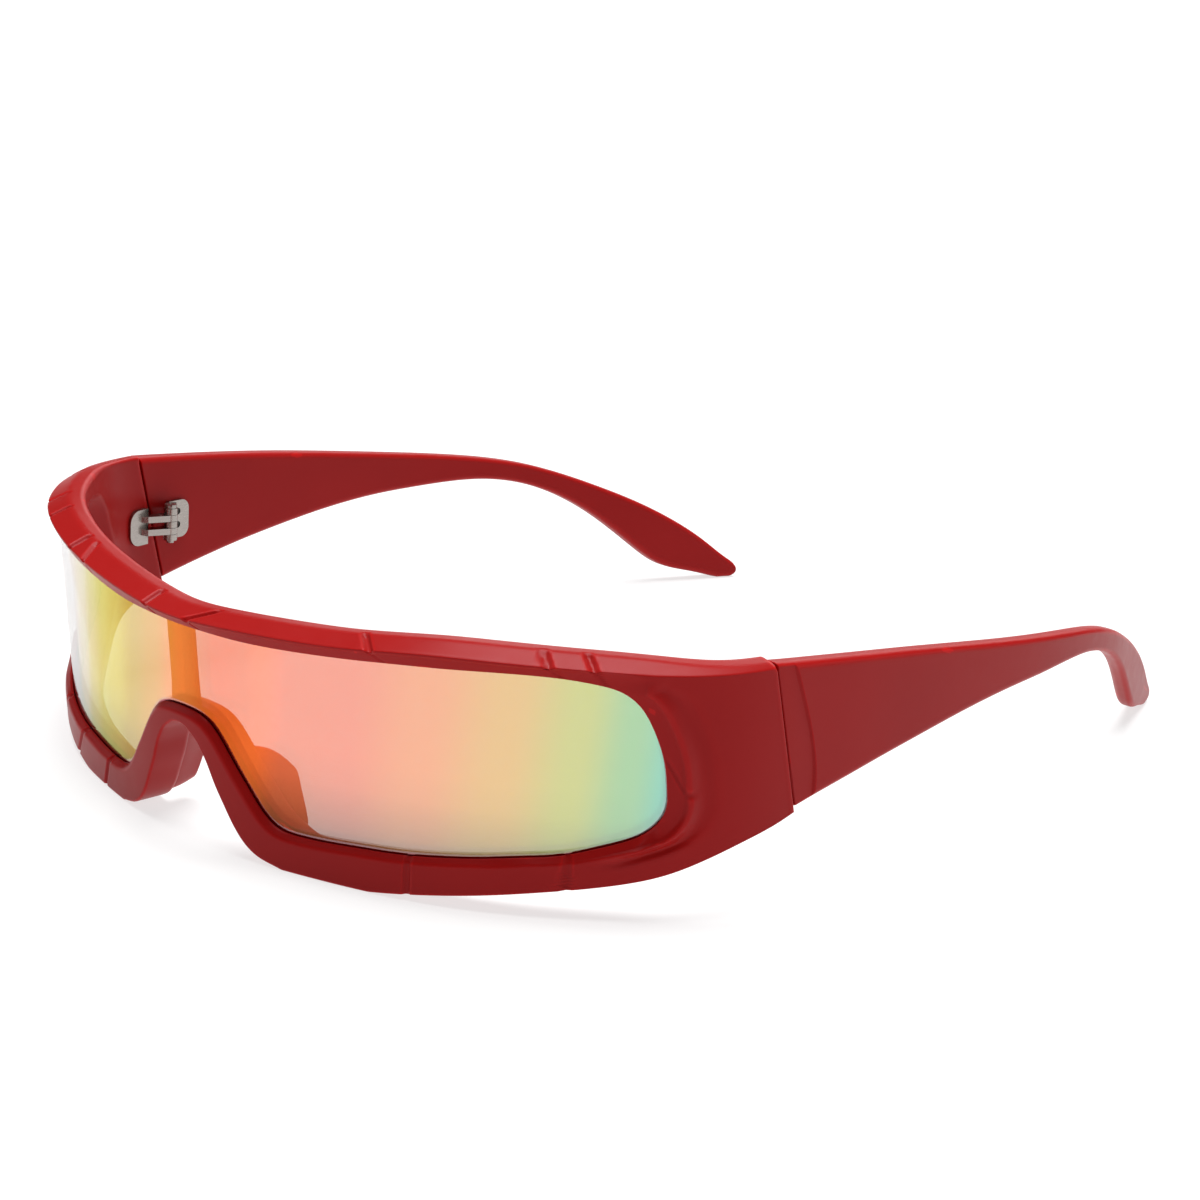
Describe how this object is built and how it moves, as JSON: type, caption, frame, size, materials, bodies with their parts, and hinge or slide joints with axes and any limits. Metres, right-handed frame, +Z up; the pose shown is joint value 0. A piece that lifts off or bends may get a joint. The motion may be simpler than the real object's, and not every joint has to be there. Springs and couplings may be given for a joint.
{
  "type": "shield sunglasses",
  "caption": "Wraparound shield sunglasses with a single curved mirror lens in a faceted red frame and deep temples that fold on metal hinges.",
  "frame": {"origin": "on the table plane, in the symmetry plane, half way between the front of the brow and the ends of the temple tips", "axes": "+Z up from the table, +Y from the front towards the temple tips, +X to the wearer's left"},
  "size_m": [0.1378, 0.1702, 0.0367],
  "materials": {
    "red_plastic": "matte moulded red nylon with a fine grain",
    "mirror_lens": "polished polycarbonate with a multicolour mirror coating, orange and pink at the middle to green and cyan at the ends",
    "hinge_metal": "warm nickel-plated",
    "screw_metal": "nickel-plated, slotted head",
    "rivet_metal": "dark rivet heads, slightly sunk"
  },
  "bodies": {
    "front": {"frame_front": "red_plastic", "shield_lens": "mirror_lens", "front_hinge_left": "hinge_metal", "front_hinge_right": "hinge_metal"},
    "left_temple": {"temple_left": "red_plastic", "temple_hinge_left": "hinge_metal", "hinge_screw_left": "screw_metal", "temple_rivets_left": "rivet_metal"},
    "right_temple": {"temple_right": "red_plastic", "temple_hinge_right": "hinge_metal", "hinge_screw_right": "screw_metal", "temple_rivets_right": "rivet_metal"}
  },
  "joints": [
    {"name": "left_temple_fold", "type": "hinge", "parent": "front", "child": "left_temple", "pos_m": [0.062, -0.03551, 0.02395], "axis": [0, 0, 1], "range_deg": [0, 85]},
    {"name": "right_temple_fold", "type": "hinge", "parent": "front", "child": "right_temple", "pos_m": [-0.062, -0.03551, 0.02395], "axis": [0, 0, -1], "range_deg": [0, 72]}
  ]
}
